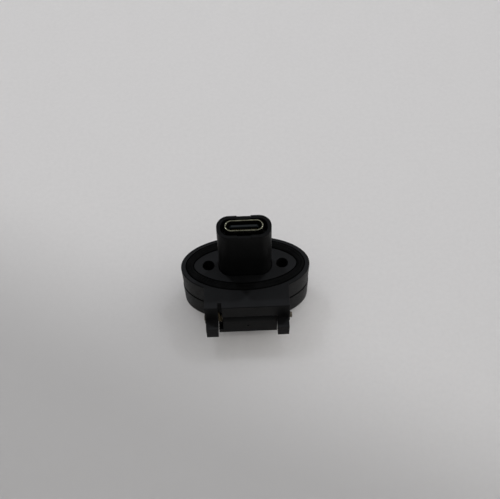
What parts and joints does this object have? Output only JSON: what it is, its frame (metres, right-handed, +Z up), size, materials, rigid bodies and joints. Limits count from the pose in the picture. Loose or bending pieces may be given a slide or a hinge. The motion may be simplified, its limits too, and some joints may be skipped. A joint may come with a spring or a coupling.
{
  "type": "usb socket",
  "caption": "Panel feed-through USB socket: oval flange with face seal and screw holes, a post with a reversible receptacle, and a sprung hinged lid over the outer port.",
  "frame": {"origin": "midway between the two screw holes, on the flange's seat face", "axes": "+Z up the post, out of the inner receptacle; +X along the flange's length; -Y towards the lid's hinge"},
  "size_m": [0.0308, 0.0241, 0.027],
  "materials": {
    "black_plastic": "fine moulded texture, semi-matt",
    "sleeve_plastic": "smooth, semi-matt",
    "seal_rubber": "moulded rubber",
    "pin_steel": "drawn wire, bright",
    "spring_wire": "drawn spring wire",
    "shell_metal": "plated sheet metal, satin",
    "tongue_plastic": "glass-filled moulding",
    "contact_metal": "gold flash",
    "board": "solder mask"
  },
  "bodies": {
    "socket": {"flange_body": "black_plastic", "coupler_sleeve": "sleeve_plastic", "panel_seal": "seal_rubber", "hinge_pin": "pin_steel", "torsion_spring": "spring_wire", "inner_shell": "shell_metal", "inner_tongue": "tongue_plastic", "inner_upper_contacts": "contact_metal", "inner_lower_contacts": "contact_metal", "inner_mid_plate": "pin_steel", "inner_ground_plates": "shell_metal", "outer_shell": "shell_metal", "outer_tongue": "tongue_plastic", "outer_upper_contacts": "contact_metal", "outer_lower_contacts": "contact_metal", "outer_mid_plate": "pin_steel", "outer_ground_plates": "shell_metal", "coupler_board": "board"},
    "lid": {"lid": "black_plastic", "lid_gasket": "seal_rubber"}
  },
  "joints": [
    {"name": "lid_hinge", "type": "hinge", "parent": "socket", "child": "lid", "pos_m": [0, -0.011, -0.0059], "axis": [-1, 0, 0], "range_deg": [0, 90], "stiffness_Nm_per_rad": 0.0008, "springref_deg": -57.3, "deforming": ["torsion_spring"]}
  ]
}
